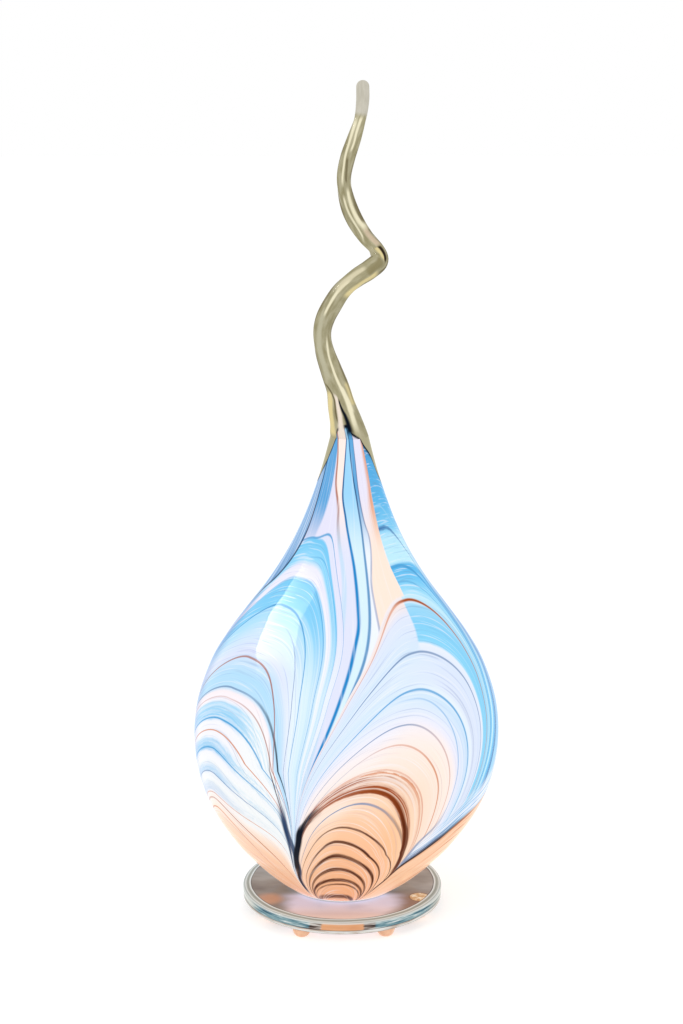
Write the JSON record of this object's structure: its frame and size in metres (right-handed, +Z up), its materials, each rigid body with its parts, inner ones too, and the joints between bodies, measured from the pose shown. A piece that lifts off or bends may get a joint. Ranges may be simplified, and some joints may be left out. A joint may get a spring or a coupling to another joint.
{
  "type": "flame lamp",
  "caption": "Table lamp: a blown glass shade like a flame, with a twisted tail, lifts off a glass plate where a candle bulb screws into a small socket.",
  "frame": {"origin": "on the table under the middle of the round plate", "axes": "+Z up, the pictured front faces -Y, +X is to the viewer's right"},
  "size_m": [0.2002, 0.2002, 0.5428],
  "materials": {
    "foot_rubber": "semi-gloss translucent elastomer",
    "plate_glass": "polished clear glass with ground bevels",
    "clear_silicone": "clear, satin",
    "black_rubber": "matte",
    "zinc_steel": "zinc plated",
    "brass": "bright",
    "nylon": "natural",
    "phenolic": "moulded brown",
    "nickel": "nickel plated",
    "frosted_glass": "inside frosted",
    "clear_glass": "clear",
    "dark_glass": "black vitrite",
    "solder": "dull solder",
    "wire": "drawn wire",
    "cased_glass": "gloss, cased opal glass with pulled blue, lilac and peach lines",
    "tail_glass": "gloss clear khaki glass"
  },
  "bodies": {
    "base": {"base_plate": "plate_glass", "seat_ring": "clear_silicone", "threaded_nipple": "zinc_steel", "cord_bushing": "nylon", "lower_rubber_washer": "black_rubber", "lower_steel_washer": "zinc_steel", "upper_rubber_washer": "black_rubber", "upper_steel_washer": "zinc_steel", "lower_nut": "brass", "upper_nut": "brass", "socket_bracket": "zinc_steel", "socket_body": "phenolic", "screw_shell": "brass", "centre_contact": "brass", "bracket_rivet_1": "brass", "bracket_rivet_2": "brass", "terminal_screw_1": "brass", "terminal_screw_2": "brass", "foot_1": "foot_rubber", "foot_2": "foot_rubber", "foot_3": "foot_rubber", "foot_4": "foot_rubber", "foot_5": "foot_rubber", "foot_6": "foot_rubber"},
    "bulb_tip": {"bulb_contact": "solder"},
    "bulb": {"bulb_insulator": "dark_glass", "bulb_cap": "nickel", "bulb_glass": "frosted_glass", "bulb_stem": "clear_glass", "bulb_lead_1": "wire", "bulb_lead_2": "wire", "bulb_filament": "wire"},
    "shade": {"shade_body": "cased_glass", "shade_tail": "tail_glass"}
  },
  "joints": [
    {"name": "shade_lift", "type": "slide", "parent": "base", "child": "shade", "axis": [0, 0, 1], "range_m": [0, 0.15]},
    {"name": "bulb_rise", "type": "slide", "parent": "base", "child": "bulb_tip", "axis": [0, 0, 1], "range_m": [0, 0.0103]},
    {"name": "bulb_turn", "type": "hinge", "parent": "bulb_tip", "child": "bulb", "pos_m": [0, 0, 0.0448], "axis": [0, 0, 1], "range_deg": [0, 1440]}
  ],
  "couplings": [
    {"joint": "bulb_rise", "follows": "bulb_turn", "m_per_rad": 0.00040425}
  ]
}
